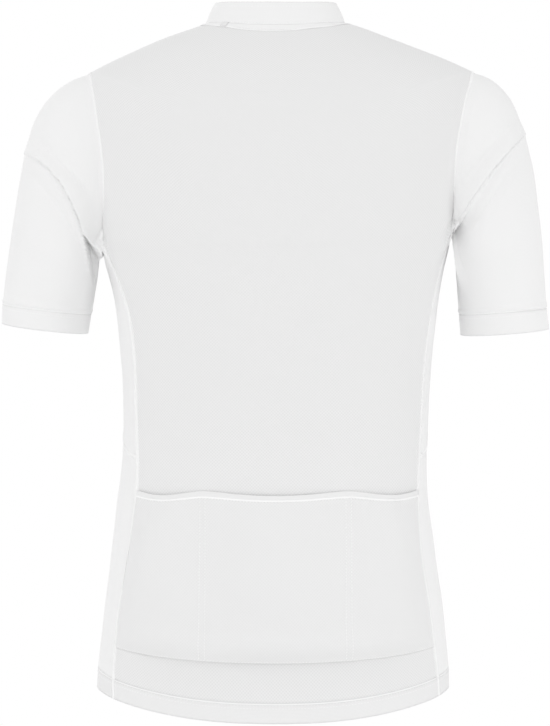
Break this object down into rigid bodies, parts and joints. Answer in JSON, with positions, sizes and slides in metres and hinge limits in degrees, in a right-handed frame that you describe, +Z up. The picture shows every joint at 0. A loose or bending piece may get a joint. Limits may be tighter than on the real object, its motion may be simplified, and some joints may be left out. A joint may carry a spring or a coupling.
{
  "type": "cycling jersey",
  "caption": "Short-sleeved cycling jersey with a stand collar, a full-length front zip and open-topped pockets across the lower back, filled out as if worn.",
  "frame": {"origin": "middle of the neck, level with the inner ends of the shoulder seams, where the wearer holds the jersey", "axes": "+Z up from hem to neck, -Y towards the front with the zip, +Y towards the back, +X towards the wearer's left"},
  "size_m": [0.5497, 0.2395, 0.7076],
  "materials": {
    "mesh_knit": "white micro-mesh polyester knit",
    "smooth_knit": "smooth white polyester knit with a slight sheen",
    "pocket_knit": "fine white polyester knit",
    "elastic": "soft white knitted elastic",
    "zip_tape": "woven white zip tape with a moulded white chain",
    "zip_metal": "white lacquered zinc"
  },
  "bodies": {
    "garment": {"back_panel": "mesh_knit", "front_left": "smooth_knit", "front_right": "smooth_knit", "underarm_left": "smooth_knit", "underarm_right": "smooth_knit", "sleeve_left": "smooth_knit", "sleeve_right": "smooth_knit", "cuff_left": "smooth_knit", "cuff_right": "smooth_knit", "neck_band": "smooth_knit", "collar": "smooth_knit", "pocket_panel": "pocket_knit", "pocket_band": "elastic", "hem_back": "elastic", "hem_front_left": "elastic", "hem_front_right": "elastic", "zip_tape_left": "zip_tape", "zip_tape_right": "zip_tape", "zip_slider": "zip_metal"},
    "zip_pull": {"zip_pull": "zip_metal"}
  },
  "joints": [
    {"name": "zip_pull_swing", "type": "hinge", "parent": "garment", "child": "zip_pull", "pos_m": [0, -0.08246, -0.05], "axis": [-1, 0, 0], "range_deg": [0, 150]}
  ]
}
